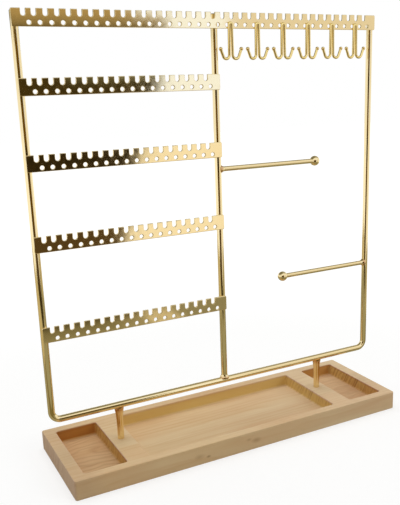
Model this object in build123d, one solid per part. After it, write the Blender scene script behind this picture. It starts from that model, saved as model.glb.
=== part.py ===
from build123d import *
import os
from math import radians, sin, cos

# Jewellery stand: a gilt rod frame with comb strips, hooks and two arms, on a wooden tray.
# Millimetres. X runs along the tray, +Y goes to the back, +Z is up.
# The origin is the middle of the tray's underside.

# Wooden tray, milled from a panel of three staves glued edge to edge
TRAY_LENGTH = 338.0
TRAY_DEPTH = 106.0
TRAY_HEIGHT = 18.0
TRAY_FLOOR = 6.0            # wood left under the pockets
END_RIM = 11.0
LONG_RIM = 9.0
SIDE_POCKET_LENGTH = 39.0
DIVIDER_WIDTH = 20.0
POCKET_CORNER_R = 2.5       # left by the milling cutter
TRAY_CORNER_R = 2.0
TOP_EDGE_R = 0.8
BOTTOM_EDGE_R = 0.5
GLUE_LINES_Y = (-19.0, -9.0)

# Rod frame
ROD_D = 6.0
UPRIGHT_X = 170.0           # centre of each outer upright
BAR_Z = 51.0                # centre of the bottom bar
BEND_R = 5.5                # to the rod's centre line
FRAME_TOP = 390.0
ROD_END_DROP = 1.0          # uprights end this far under the top strip's upper edge
ROD_END_CHAMFER = 0.6
SEAT_DEPTH = 0.2            # how deep a weld seats one piece in the other
COPE_DEPTH = 1.5            # how far a coped end reaches down over the rod that it stands on
WELD_BEAD_RISE = 0.7        # how far a weld bead stands proud of its rod
WELD_BEAD_LENGTH = 4.0

# Comb strips, stamped from sheet
STRIP_THICKNESS = 1.5
STRIP_HEIGHT = 13.5
STRIP_CORNER_R = 1.2
PITCH = 9.0                 # from slot to slot
FIRST_PITCH = 8.0           # the first tooth is narrower than the others
SLOT_WIDTH = 3.7
SLOT_DEPTH = 5.6
HOLE_D = 3.4
HOLE_RISE = 3.2             # hole centre above the strip's lower edge
FIRST_SLOT_X = -163.6
LONG_STRIP_X = (-173.0, 173.0)
LONG_STRIP_SLOTS = 37
SHORT_STRIP_X = (-172.0, 2.5)
SHORT_STRIP_SLOTS = 18
SHORT_STRIP_TOPS = (338.8, 280.0, 214.3, 136.8)

# Double hooks, each one bent wire with a bead on both ends
HOOK_WIRE_D = 2.3
HOOK_BEAD_D = 3.4
HOOK_COUNT = 6
HOOK_FIRST_X = 13.4
HOOK_PITCH = 27.0
HOOK_OVERLAP = 5.9          # wire lying on the strip
HOOK_DROP = 25.2            # strip's lower edge to the lowest point of the wire's centre line
HOOK_TOP_HALF_GAP = 1.25    # half the distance between the two wires at the top
HOOK_LOW_HALF_GAP = 1.65    # and where they turn outwards
HOOK_J_R = 3.2
HOOK_J_TURN = 158.0         # degrees
HOOK_TIP_LENGTH = 6.6
HOOK_SPLAY = 2.0            # degrees that the hooks' ends lean forwards

# Ball-ended arms
ARM_D = 4.0
BALL_D = 9.5
BALL_SOCKET_DEPTH = 3.0
UPPER_ARM_Z = 255.5
UPPER_BALL_X = 106.0
LOWER_ARM_Z = 145.0
LOWER_BALL_X = 68.0

# Leg screws, from under the tray
SCREW_D = 4.0
SCREW_CLEARANCE_D = 4.5
SCREW_ENGAGEMENT = 10.0
TAPPED_DEPTH = 11.0
SCREW_HEAD_D = 7.5
SCREW_HEAD_H = 2.4
CROSS_SLOT = (4.0, 1.0, 1.2)
WASHER_D = 9.0
WASHER_BORE = 4.3
WASHER_T = 0.8
COUNTERBORE_D = 9.6
COUNTERBORE_DEPTH = 4.0

ROD_R = ROD_D / 2
STRIP_BACK_Y = -(ROD_R - SEAT_DEPTH)
STRIP_FRONT_Y = STRIP_BACK_Y - STRIP_THICKNESS
MAIN_POCKET_LENGTH = TRAY_LENGTH - 2 * (END_RIM + SIDE_POCKET_LENGTH + DIVIDER_WIDTH)
LEG_X = (MAIN_POCKET_LENGTH + DIVIDER_WIDTH) / 2
LEG_PLACES = (-LEG_X, LEG_X)
FAR = 1000.0


def along_z(radius, x, bottom, top):
    """A round bar along Z, in the frame's plane."""
    return extrude(Plane(origin=(x, 0, bottom)) * Circle(radius), amount=top - bottom)


def beaded_rod(radius, length, root, direction, end_chamfer=0.0):
    """A rod along direction, its length counted from root on the axis of the rod that it stands on.

    It starts at its coped end, with a weld bead there.
    """
    start = ROD_R - COPE_DEPTH
    bead_middle = start + WELD_BEAD_LENGTH / 2
    bead_end = start + WELD_BEAD_LENGTH
    outline = [
        Line((0, start), (radius, start)),
        ThreePointArc((radius, start), (radius + WELD_BEAD_RISE, bead_middle), (radius, bead_end)),
        Line((radius, bead_end), (radius, length - end_chamfer)),
        Line((radius - end_chamfer, length), (0, length)),
        Line((0, length), (0, start)),
    ]
    if end_chamfer:
        outline.insert(3, Line((radius, length - end_chamfer), (radius - end_chamfer, length)))
    profile = Plane.XZ * make_face(Wire(outline))
    return Plane(origin=root, z_dir=direction) * revolve(profile, Axis.Z)


# ---------------------------------------------------------------- tray
def whole_tray():
    """The milled panel before it is told apart into its staves."""
    centre = Pos(0, 0, TRAY_HEIGHT / 2)
    body = centre * Box(TRAY_LENGTH, TRAY_DEPTH, TRAY_HEIGHT)
    body = fillet(body.edges().filter_by(Axis.Z), TRAY_CORNER_R)
    side_x = TRAY_LENGTH / 2 - END_RIM - SIDE_POCKET_LENGTH / 2
    pockets = ((-side_x, SIDE_POCKET_LENGTH), (0.0, MAIN_POCKET_LENGTH), (side_x, SIDE_POCKET_LENGTH))
    for x, length in pockets:
        outline = RectangleRounded(length, TRAY_DEPTH - 2 * LONG_RIM, POCKET_CORNER_R)
        body -= extrude(Plane(origin=(x, 0, TRAY_FLOOR)) * outline, amount=TRAY_HEIGHT)
    body = fillet(body.faces().sort_by(Axis.Z)[-1].edges(), TOP_EDGE_R)
    body = fillet(body.faces().sort_by(Axis.Z)[0].edges(), BOTTOM_EDGE_R)
    for x in LEG_PLACES:
        body -= along_z(SCREW_CLEARANCE_D / 2, x, -1, TRAY_HEIGHT + 1)
        body -= along_z(COUNTERBORE_D / 2, x, -1, COUNTERBORE_DEPTH)
    return body


def stave(tray, front, back):
    """The stave of the tray between two glue lines."""
    slab = Pos(0, (front + back) / 2, 0) * Box(FAR, back - front, FAR)
    return tray & slab


# ---------------------------------------------------------------- rod frame
def strip_blank(ends, top):
    """The plain bar that a comb strip fills, used to cut its seat."""
    left, right = ends
    box = Box(right - left, STRIP_THICKNESS, STRIP_HEIGHT)
    return Pos((left + right) / 2, (STRIP_BACK_Y + STRIP_FRONT_Y) / 2, top - STRIP_HEIGHT / 2) * box


def seat_strips(rod):
    """Flats on a rod's front where the strips are welded on."""
    rod -= strip_blank(LONG_STRIP_X, FRAME_TOP)
    for top in SHORT_STRIP_TOPS:
        rod -= strip_blank(SHORT_STRIP_X, top)
    return rod


def outer_frame():
    """One rod bent to a U: left upright, bottom bar, right upright."""
    top = FRAME_TOP - ROD_END_DROP
    path = FilletPolyline(
        (-UPRIGHT_X, 0, top), (-UPRIGHT_X, 0, BAR_Z), (UPRIGHT_X, 0, BAR_Z), (UPRIGHT_X, 0, top),
        radius=BEND_R,
    )
    section = Plane(origin=(-UPRIGHT_X, 0, top), z_dir=(0, 0, -1)) * Circle(ROD_R)
    rod = sweep(section, path=path)
    rod = chamfer(rod.edges().filter_by(GeomType.CIRCLE).group_by(Axis.Z)[-1], ROD_END_CHAMFER)
    return seat_strips(rod)


def bottom_bar():
    """The straight part of the outer frame, used to cope what is welded to it."""
    start = Plane(origin=(-UPRIGHT_X, 0, BAR_Z), z_dir=(1, 0, 0))
    return extrude(start * Circle(ROD_R), amount=2 * UPRIGHT_X)


def centre_upright():
    """The middle rod, coped onto the bottom bar with its weld bead."""
    length = FRAME_TOP - ROD_END_DROP - BAR_Z
    rod = beaded_rod(ROD_R, length, (0, 0, BAR_Z), (0, 0, 1), ROD_END_CHAMFER)
    return seat_strips(rod - bottom_bar())


def leg(x):
    """A short post from the tray's divider to the bottom bar, tapped for its screw."""
    post = beaded_rod(ROD_R, BAR_Z - TRAY_HEIGHT, (x, 0, BAR_Z), (0, 0, -1)) - bottom_bar()
    return post - along_z(SCREW_D / 2, x, TRAY_HEIGHT - 1, TRAY_HEIGHT + TAPPED_DEPTH)


# ---------------------------------------------------------------- comb strips
def slot_place(n):
    """Where the middle of a slot is along X, counted from 0 at the left."""
    return FIRST_SLOT_X if n == 0 else FIRST_SLOT_X + FIRST_PITCH + (n - 1) * PITCH


def comb_strip(ends, top, slots):
    """Sheet strip with U slots along its upper edge and a hole under each tooth."""
    left, right = ends
    slot_r = SLOT_WIDTH / 2
    slot_floor = top - SLOT_DEPTH + slot_r
    profile = Pos((left + right) / 2, top - STRIP_HEIGHT / 2) * RectangleRounded(
        right - left, STRIP_HEIGHT, STRIP_CORNER_R
    )
    cuts = []
    for n in range(slots):
        slot_x = slot_place(n)
        hole_x = (slot_x + slot_place(n + 1)) / 2
        cuts.append(Pos(slot_x, slot_floor + SLOT_DEPTH / 2) * Rectangle(SLOT_WIDTH, SLOT_DEPTH))
        cuts.append(Pos(slot_x, slot_floor) * Circle(slot_r))
        cuts.append(Pos(hole_x, top - STRIP_HEIGHT + HOLE_RISE) * Circle(HOLE_D / 2))
    return extrude(Plane.XZ.offset(-STRIP_BACK_Y) * (profile - cuts), amount=STRIP_THICKNESS)


# ---------------------------------------------------------------- hooks
def hook_side(x, side):
    """Corner points of one side of a hook's centre line, from the loop down and out to the bead."""
    y = STRIP_FRONT_Y - HOOK_WIRE_D / 2 + SEAT_DEPTH
    strip_bottom = FRAME_TOP - STRIP_HEIGHT
    loop_z = strip_bottom + HOOK_OVERLAP - HOOK_WIRE_D / 2 - HOOK_TOP_HALF_GAP
    leg_top = Vector(x + side * HOOK_TOP_HALF_GAP, y, loop_z)
    leg_low = Vector(x + side * HOOK_LOW_HALF_GAP, y, strip_bottom - HOOK_DROP + HOOK_J_R)
    down = (leg_low - leg_top).normalized()
    outward = Vector(side * cos(radians(HOOK_SPLAY)), -sin(radians(HOOK_SPLAY)), 0)
    outward = (outward - down * outward.dot(down)).normalized()

    def on_turn(degrees):
        angle = radians(degrees)
        return leg_low + outward * (HOOK_J_R * (1 - cos(angle))) + down * (HOOK_J_R * sin(angle))

    end = radians(HOOK_J_TURN)
    tip_start = on_turn(HOOK_J_TURN)
    bead = tip_start + (outward * sin(end) + down * cos(end)) * HOOK_TIP_LENGTH
    return leg_top, leg_low, on_turn(HOOK_J_TURN / 2), tip_start, bead


def hook(x):
    """Double hook: a hairpin of wire whose ends turn out and up to the left and right."""
    top_l, low_l, mid_l, tip_l, bead_l = hook_side(x, -1)
    top_r, low_r, mid_r, tip_r, bead_r = hook_side(x, 1)
    apex = (top_l + top_r) / 2 + Vector(0, 0, HOOK_TOP_HALF_GAP)
    path = Wire([
        Line(bead_l, tip_l),
        ThreePointArc(tip_l, mid_l, low_l),
        Line(low_l, top_l),
        ThreePointArc(top_l, apex, top_r),
        Line(top_r, low_r),
        ThreePointArc(low_r, mid_r, tip_r),
        Line(tip_r, bead_r),
    ])
    section = Plane(origin=bead_l, z_dir=tip_l - bead_l) * Circle(HOOK_WIRE_D / 2)
    wire = sweep(section, path=path) - strip_blank(LONG_STRIP_X, FRAME_TOP)
    return wire + Pos(*bead_l) * Sphere(HOOK_BEAD_D / 2) + Pos(*bead_r) * Sphere(HOOK_BEAD_D / 2)


# ---------------------------------------------------------------- arms
def arm(root_x, ball_x, z):
    """Round arm, coped to the side of its upright, its end let into the ball."""
    way = 1 if ball_x > root_x else -1
    length = abs(ball_x - root_x) - BALL_D / 2 + BALL_SOCKET_DEPTH
    bar = beaded_rod(ARM_D / 2, length, (root_x, 0, z), (way, 0, 0))
    return bar - along_z(ROD_R, root_x, z - BALL_D, z + BALL_D)


def ball(root_x, ball_x, z):
    """Ball with a blind hole for the arm's end."""
    return Pos(ball_x, 0, z) * Sphere(BALL_D / 2) - arm(root_x, ball_x, z)


# ---------------------------------------------------------------- fasteners
def screw(x):
    """Pan-head machine screw, pointing up from the counterbore into the leg."""
    seat_z = COUNTERBORE_DEPTH - WASHER_T
    shank = along_z(SCREW_D / 2, x, seat_z, TRAY_HEIGHT + SCREW_ENGAGEMENT)
    head = along_z(SCREW_HEAD_D / 2, x, seat_z - SCREW_HEAD_H, seat_z)
    head = fillet(head.edges().group_by(Axis.Z)[0], SCREW_HEAD_H / 3)
    length, width, depth = CROSS_SLOT
    recess = Pos(x, 0, seat_z - SCREW_HEAD_H + depth / 2)
    return shank + head - recess * Box(length, width, depth) - recess * Box(width, length, depth)


def washer(x):
    """Plain washer between the screw's head and the wood."""
    bottom = COUNTERBORE_DEPTH - WASHER_T
    ring = along_z(WASHER_D / 2, x, bottom, COUNTERBORE_DEPTH)
    return ring - along_z(WASHER_BORE / 2, x, bottom - 1, COUNTERBORE_DEPTH + 1)


# ---------------------------------------------------------------- the assembly
def build():
    """Every piece by its node name."""
    tray = whole_tray()
    half_depth = TRAY_DEPTH / 2
    front_line, back_line = GLUE_LINES_Y
    pieces = {
        "tray_front_stave": stave(tray, -half_depth, front_line),
        "tray_middle_stave": stave(tray, front_line, back_line),
        "tray_back_stave": stave(tray, back_line, half_depth),
        "outer_frame": outer_frame(),
        "centre_upright": centre_upright(),
        "left_leg": leg(-LEG_X),
        "right_leg": leg(LEG_X),
        "top_comb_strip": comb_strip(LONG_STRIP_X, FRAME_TOP, LONG_STRIP_SLOTS),
        "upper_arm": arm(0.0, UPPER_BALL_X, UPPER_ARM_Z),
        "upper_arm_ball": ball(0.0, UPPER_BALL_X, UPPER_ARM_Z),
        "lower_arm": arm(UPRIGHT_X, LOWER_BALL_X, LOWER_ARM_Z),
        "lower_arm_ball": ball(UPRIGHT_X, LOWER_BALL_X, LOWER_ARM_Z),
        "leg_screws": Compound([screw(x) for x in LEG_PLACES]),
        "screw_washers": Compound([washer(x) for x in LEG_PLACES]),
    }
    for n, top in enumerate(SHORT_STRIP_TOPS, start=1):
        pieces[f"short_comb_strip_{n}"] = comb_strip(SHORT_STRIP_X, top, SHORT_STRIP_SLOTS)
    for n in range(HOOK_COUNT):
        pieces[f"hook_{n + 1}"] = hook(HOOK_FIRST_X + n * HOOK_PITCH)
    return pieces


os.makedirs("parts", exist_ok=True)
for name, shape in build().items():
    export_step(shape, f"parts/{name}.step")
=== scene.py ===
"""Looks of the jewellery stand: a gilt rod frame with comb strips, hooks and arms on a wooden tray.

Laid out as an add-on and run as a script. Metres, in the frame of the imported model:
X runs along the tray, +Y goes to the back, +Z is up, and the origin is under the tray's middle.
"""

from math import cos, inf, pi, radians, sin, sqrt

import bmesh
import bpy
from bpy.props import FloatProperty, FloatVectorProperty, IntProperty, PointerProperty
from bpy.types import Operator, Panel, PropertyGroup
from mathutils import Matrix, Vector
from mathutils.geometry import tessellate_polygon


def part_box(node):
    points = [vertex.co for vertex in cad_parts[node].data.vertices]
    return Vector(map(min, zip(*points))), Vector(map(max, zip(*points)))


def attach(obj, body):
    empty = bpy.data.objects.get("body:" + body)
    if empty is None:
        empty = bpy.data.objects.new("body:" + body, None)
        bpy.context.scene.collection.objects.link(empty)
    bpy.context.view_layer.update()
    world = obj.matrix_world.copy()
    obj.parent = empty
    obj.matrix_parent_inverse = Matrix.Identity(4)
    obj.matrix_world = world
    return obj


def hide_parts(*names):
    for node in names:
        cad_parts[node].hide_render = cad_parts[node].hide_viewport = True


bl_info = {
    "name": "Jewellery stand",
    "version": (1, 0, 0),
    "blender": (4, 5, 0),
    "location": "View3D > Sidebar > Stand",
    "description": "Builds the visible pieces of a gilt jewellery stand on its wooden tray",
    "category": "Object",
}

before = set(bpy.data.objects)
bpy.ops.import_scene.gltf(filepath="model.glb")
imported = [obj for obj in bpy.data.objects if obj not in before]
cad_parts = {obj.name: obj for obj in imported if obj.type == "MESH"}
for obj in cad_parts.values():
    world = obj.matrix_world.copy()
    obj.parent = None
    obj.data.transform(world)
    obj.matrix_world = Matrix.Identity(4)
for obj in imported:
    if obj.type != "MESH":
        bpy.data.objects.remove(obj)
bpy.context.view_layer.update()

MM = 0.001
ROOT_BODY = "root"

SEAM = 2e-6                 # points of a swept bar or a strip nearer than this are one point
SAME_POINT = 1e-7           # the same for a mesh that is built point by point
FLAT_SIDE = 0.999           # a face with so much of its normal along Y is one of a strip's flat sides
BAR_SHARP = radians(40)     # an edge of a bar is sharp from this angle on
PLATE_SHARP = radians(50)   # and an edge of a board or a strip from this one
POLE_RADIUS = 1e-5          # a ball's pole is a ring this small
WELD_SEAT = 0.2 * MM        # how deep a hook's wire lies in the strip


# ---------------------------------------------------------------- what the frame says
def span(node, axis):
    """Lowest and highest place of a node along an axis, 0 to 2."""
    low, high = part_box(node)
    return low[axis], high[axis]


def middle(node, axis):
    low, high = span(node, axis)
    return (low + high) / 2


TRAY_LEFT, TRAY_RIGHT = span("tray_front_stave", 0)
TRAY_TOP = span("tray_front_stave", 2)[1]
TRAY_FRONT = span("tray_front_stave", 1)[0]
TRAY_BACK = span("tray_back_stave", 1)[1]
GLUE_LINES = span("tray_middle_stave", 1)
FRAME_TOP = span("outer_frame", 2)[1]
STRIP_FRONT, STRIP_BACK = span("top_comb_strip", 1)
ROD_RADIUS = span("outer_frame", 1)[1]
BAR_Z = span("outer_frame", 2)[0] + ROD_RADIUS
UPRIGHT_X = span("outer_frame", 0)[1] - ROD_RADIUS
LEG_X = middle("right_leg", 0)

# Pin knots on the tray's front: x, z and radius in millimetres, and the share of the knot's colour.
PIN_KNOTS = ((4.0, 8.5, 3.4, 0.4), (-4.0, 11.0, 1.8, 0.3), (-46.0, 6.0, 1.6, 0.6), (-55.0, 8.0, 3.4, 0.3))


# ---------------------------------------------------------------- colours and nodes
def linear(code):
    """An sRGB hex colour as linear red, green, blue and alpha."""
    channels = []
    for start in (1, 3, 5):
        value = int(code[start:start + 2], 16) / 255
        channels.append(value / 12.92 if value <= 0.04045 else ((value + 0.055) / 1.055) ** 2.4)
    return (*channels, 1.0)


def add(tree, kind, inputs=None, **settings):
    """A node of a tree with its settings. An input is a value, or what it is linked to.

    That is a socket, a node, for the first of its outputs, or an Amount.
    """
    made = tree.nodes.new(kind)
    for name, value in settings.items():
        setattr(made, name, value)
    for socket, value in (inputs or {}).items():
        if isinstance(value, Amount):
            value = value.source
        if isinstance(value, bpy.types.Node):
            value = next(out for out in value.outputs if out.enabled)
        if isinstance(value, bpy.types.NodeSocket):
            tree.links.new(value, made.inputs[socket])
        else:
            made.inputs[socket].default_value = value
    return made


class Amount:
    """A number that a tree works out, from a node or a socket. Sums with it are written as sums."""

    def __init__(self, tree, source):
        self.tree = tree
        self.source = source

    def worked_out(self, operation, first, second):
        made = add(self.tree, "ShaderNodeMath", {0: first, 1: second}, operation=operation)
        return Amount(self.tree, made)

    def then(self, operation, other=0.0):
        """The amount after one more operation, with another amount where it takes one."""
        return self.worked_out(operation, self, other)

    def rising(self, low, high, most=1.0):
        """0 at low and before it, the most at high and beyond it, and a straight line between them."""
        inputs = {"Value": self, "From Min": low, "From Max": high, "To Max": most}
        return Amount(self.tree, add(self.tree, "ShaderNodeMapRange", inputs))

    def __add__(self, other):
        return self.then("ADD", other)

    def __sub__(self, other):
        return self.then("SUBTRACT", other)

    def __rsub__(self, other):
        return self.worked_out("SUBTRACT", other, self)

    def __mul__(self, other):
        return self.then("MULTIPLY", other)

    def __truediv__(self, other):
        return self.then("DIVIDE", other)

    def __pow__(self, other):
        return self.then("POWER", other)

    def __abs__(self):
        return self.then("ABSOLUTE")

    def __lt__(self, other):
        return self.then("LESS_THAN", other)

    def __gt__(self, other):
        return self.then("GREATER_THAN", other)


def new_material(name):
    """An empty node material and its tree."""
    material = bpy.data.materials.new(name)
    material.use_nodes = True
    material.node_tree.nodes.clear()
    return material, material.node_tree


# ---------------------------------------------------------------- settings
def length(name, text, millimetres):
    return FloatProperty(name=name, description=text, default=millimetres * MM, unit="LENGTH", min=0.0)


def colour(name, text, code):
    return FloatVectorProperty(name=name, description=text, default=linear(code), size=4, subtype="COLOR",
                               min=0.0, max=1.0)


def angle(name, text, degrees):
    return FloatProperty(name=name, description=text, default=radians(degrees), unit="ROTATION")


def count(name, text, default, least):
    return IntProperty(name=name, description=text, default=default, min=least)


def watts(name, text, default):
    return FloatProperty(name=name, description=text, default=default, unit="POWER", min=0.0)


def factor(name, text, default):
    return FloatProperty(name=name, description=text, default=default, subtype="FACTOR", min=0.0)


class TraySettings(PropertyGroup):
    long_rim: length("Long rim", "Width of the rim along the front and the back", 9.0)
    end_rim: length("End rim", "Width of the rim at each end", 11.0)
    side_pocket: length("Side pocket", "Length of each end pocket along the tray", 39.0)
    divider: length("Divider", "Width of the wood between two pockets", 20.0)
    floor: length("Floor", "Wood left under the pockets", 6.0)
    pocket_corner: length("Pocket corner", "Corner radius left by the milling cutter", 2.5)
    outer_corner: length("Outer corner", "Radius of the tray's upright corners", 2.0)
    top_edge: length("Top edge", "Sanded radius of the upper edges", 0.8)
    bottom_edge: length("Bottom edge", "Sanded radius of the lower edges", 0.5)
    cove: length("Cove", "Radius where a pocket's wall meets its floor", 1.6)
    screw_hole: length("Screw hole", "Diameter of the clearance holes for the leg screws", 4.5)
    counterbore: length("Counterbore", "Diameter of the recess for a screw's head", 9.6)
    counterbore_depth: length("Counterbore depth", "Depth of the recess from below", 4.0)
    ring_pitch: length("Ring pitch", "Typical width of one year's growth", 5.0)
    early_wood: colour("Early wood", "Pale wood grown in spring", "#e2c79c")
    late_wood: colour("Late wood", "Darker line that closes each year", "#c79a63")
    heart_wood: colour("Heart tone", "Reddish tone that drifts through the boards", "#cf9c6d")
    pale_wood: colour("Pale wood", "Paler tone of the boards' right ends", "#ead8be")
    figure_pitch: length("Figure pitch", "Distance between the dark lines on the end pockets' floors", 8.0)
    figure: colour("Figure", "Colour of those lines", "#9b6a40")
    streak_width: length("Streak width", "Typical width of a streak in the end grain", 2.6)
    streak: colour("Streak", "Tint of the dark streaks in the end grain", "#ac7a55")
    # Painted shade: a duller, darker tone mixed into the wood at the left end.
    left_shade: colour("Left shade", "Duller tone of the left rim", "#a98a72")
    end_wood: colour("End wood", "Greyer tone of the outer end grain", "#ecd0be")
    # Painted shade: the darker tint laid inside the end pockets.
    end_pocket_shade: colour("End pocket shade", "Tint of the end pockets' walls and floors", "#dcb38b")
    # Painted bounce light: a warm tint on every wall inside the pockets.
    pocket_bounce: colour("Pocket bounce", "Tint of all milled walls", "#fff9c4")
    knot: colour("Pin knot", "Colour of a pin knot", "#8a6038")


class RodSettings(PropertyGroup):
    bend_radius: length("Bend radius", "Radius of the frame's lower corners, to the rod's centre", 8.0)
    bend_steps: count("Bend steps", "Rings of mesh in each bend", 14, 3)
    end_chamfer: length("End chamfer", "Chamfer on the uprights' upper ends", 0.6)
    welded_start: length("Welded start", "Where a welded rod starts, from the axis of the other rod", 1.5)
    leg_flare: length("Leg's flare", "How far a leg widens at its root", 1.3)
    leg_flare_end: length("Leg's flare end", "Where it has its own thickness, from the same axis", 17.0)
    bead: length("Bead", "How far the middle upright and the arms widen at their roots", 1.4)
    bead_end: length("Bead's end", "Where they have their own thickness, from the same axis", 6.5)
    sides: count("Sides", "Sides of a rod's round section", 48, 8)
    gilt: colour("Gilt", "Colour of the gold plating", "#f4e1b0")
    heated_gilt: colour("Heated gilt", "Redder tone of the plating at a weld", "#c08652")


class CombSettings(PropertyGroup):
    pitch: length("Pitch", "Distance from one slot to the next", 9.0)
    first_pitch: length("First pitch", "Distance from the first slot to the second", 8.0)
    slot_width: length("Slot width", "Width of a slot", 3.7)
    slot_depth: length("Slot depth", "Depth of a slot from the strip's upper edge", 5.6)
    hole: length("Hole", "Diameter of the earring holes", 3.4)
    hole_rise: length("Hole rise", "Height of a hole's centre over the strip's lower edge", 3.2)
    first_slot: length("First slot", "Distance of the first slot from the stand's middle", 163.6)
    corner: length("Corner", "Corner radius of a strip's ends", 1.2)
    tooth_corner: length("Tooth corner", "Corner radius of a tooth", 0.3)
    front_round: length("Front rounding", "Rounding of the edges on the side the punch came from", 0.45)
    back_round: length("Back rounding", "Rounding of the edges at the back", 0.12)
    long_slots: count("Long slots", "Slots in the top strip", 37, 3)
    short_slots: count("Short slots", "Slots in a short strip", 18, 3)


class HookSettings(PropertyGroup):
    wire: length("Wire", "Diameter of the hooks' wire", 2.5)
    bead: length("Bead", "Diameter of the beads on the hooks' ends", 3.4)
    first_x: length("First hook", "Distance of the first hook from the stand's middle, to the right", 13.4)
    pitch: length("Hook pitch", "Distance from one hook to the next", 27.0)
    overlap: length("Overlap", "Wire lying on the strip", 5.9)
    drop: length("Drop", "From the strip's lower edge to the lowest point of the wire's centre", 25.2)
    top_half_gap: length("Top half gap", "Half the distance between the two wires at the top", 1.3)
    low_half_gap: length("Low half gap", "Half that distance where they turn outwards", 1.65)
    turn_radius: length("Turn radius", "Radius of each hook's turn, to the wire's centre", 3.2)
    turn: angle("Turn", "How far each end turns up", 158)
    tip: length("Tip", "Straight end after the turn", 6.6)
    splay: angle("Splay", "How far the ends lean forwards", 2)
    sides: count("Sides", "Sides of the wire's round section", 28, 8)
    gilt: colour("Gilt", "Colour of the wire's gold plating, deeper than the rods'", "#f4dd98")


class ArmSettings(PropertyGroup):
    diameter: length("Diameter", "Diameter of the arms", 4.5)
    socket: length("Socket", "How far an arm's end goes into its ball", 3.0)
    neck: length("Neck", "Small fillet of solder where an arm enters its ball", 0.5)
    ball_rings: count("Ball rings", "Rings of mesh on a ball", 40, 8)


class FastenerSettings(PropertyGroup):
    dull_zinc: colour("Dull zinc", "Darker tone in the zinc plating's mottle", "#b3b6b8")
    bright_zinc: colour("Bright zinc", "Lighter tone in the zinc plating's mottle", "#d3d4d2")


class StageSettings(PropertyGroup):
    place: FloatVectorProperty(name="Camera", description="Where the camera stands", size=3,
                               subtype="TRANSLATION", default=(-0.30168, -0.57982, 0.33041))
    azimuth: angle("Azimuth", "How far the camera is turned from +Y towards +X", 27.906)
    elevation: angle("Elevation", "How far the camera looks up", -14.478)
    roll: angle("Roll", "How far the camera is rolled", -1.65)
    lens: FloatProperty(name="Lens", description="Focal length of the camera", default=51.285,
                        unit="CAMERA")
    sensor: FloatProperty(name="Sensor", description="Width of the camera's sensor", default=36.0,
                          unit="CAMERA")
    shift: FloatVectorProperty(name="Shift", description="Lens shift, in widths of the long side", size=2,
                               default=(-0.0520, 0.0336))
    paper: colour("Paper", "Colour of the floor", "#f6f6f4")
    bounce: colour("Bounce", "Colour that the floor throws back onto what is matt", "#bdb29c")
    floor_half: length("Half floor", "From the floor's middle to each of its sides", 4000.0)
    whiteness: factor("Whiteness", "Share of plain white in the floor about the stand", 0.62)
    glow: factor("Glow", "Strength of that white", 1.1)
    fade_start: length("Fade start", "Where the floor starts to fade to white, from its middle", 250.0)
    fade_end: length("Fade end", "Where it is plain white", 750.0)
    key: watts("Key light", "Power of the softbox overhead", 11.0)
    fill: watts("Fill light", "Power of the window at the front right", 6.2)
    sky: factor("Sky", "Strength of the even light from all sides", 0.42)


GROUPS = {
    "stand_tray": TraySettings,
    "stand_rods": RodSettings,
    "stand_combs": CombSettings,
    "stand_hooks": HookSettings,
    "stand_arms": ArmSettings,
    "stand_fasteners": FastenerSettings,
    "stand_stage": StageSettings,
}


# ---------------------------------------------------------------- meshes
def new_object(name, mesh):
    made = bpy.data.objects.new(name, mesh)
    bpy.context.scene.collection.objects.link(made)
    return made


def settle(obj):
    """Turns what the modifiers make into the object's own plain mesh."""
    bpy.context.view_layer.update()
    seen = obj.evaluated_get(bpy.context.evaluated_depsgraph_get())
    mesh = bpy.data.meshes.new_from_object(seen)
    obj.modifiers.clear()
    obj.data = mesh
    return mesh


def shade(mesh, sharp_angle):
    """Smooth shading, with sharp edges where faces meet at more than that angle."""
    mesh.shade_smooth()
    mesh.set_sharp_from_angle(angle=sharp_angle)


def weigh_normals(obj):
    """Lets the large faces set the normals, so that a flat face beside a rounding still looks flat."""
    obj.modifiers.new("weighted_normals", "WEIGHTED_NORMAL").keep_sharp = True
    settle(obj)


def flatten_sides(obj):
    """Gives the corners of a strip's flat sides those sides' normals, so that they mirror as planes."""
    mesh = obj.data
    normals = [vert.normal.copy() for vert in mesh.vertices]
    for face in mesh.polygons:
        if abs(face.normal.y) > FLAT_SIDE:
            for n in face.vertices:
                normals[n] = face.normal.copy()
    mesh.normals_split_custom_set_from_vertices(normals)


def stand_for(obj, node):
    """Puts a finished piece in the place of its node."""
    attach(obj, ROOT_BODY)
    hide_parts(node)


def modifier_inputs(modifier, values):
    """Sets a Geometry Nodes modifier's inputs, given by the names of its tree's sockets."""
    for item in modifier.node_group.interface.items_tree:
        if item.in_out == "INPUT" and item.name in values:
            modifier[item.identifier] = values[item.name]


def new_geometry_tree(name, sockets):
    """An empty Geometry Nodes tree with named inputs, and its input node."""
    tree = bpy.data.node_groups.new(name, "GeometryNodeTree")
    tree.interface.new_socket("Geometry", in_out="INPUT", socket_type="NodeSocketGeometry")
    tree.interface.new_socket("Geometry", in_out="OUTPUT", socket_type="NodeSocketGeometry")
    for socket, kind in sockets:
        tree.interface.new_socket(socket, in_out="INPUT", socket_type=kind)
    return tree, add(tree, "NodeGroupInput")


def end_geometry_tree(tree, geometry, material):
    """Ends a tree: real geometry, its seams closed, in one material."""
    real = add(tree, "GeometryNodeRealizeInstances", {"Geometry": geometry})
    closed = add(tree, "GeometryNodeMergeByDistance", {"Geometry": real, "Distance": SEAM})
    painted = add(tree, "GeometryNodeSetMaterial", {"Geometry": closed, "Material": material})
    add(tree, "NodeGroupOutput", {"Geometry": painted})
    return tree


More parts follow.
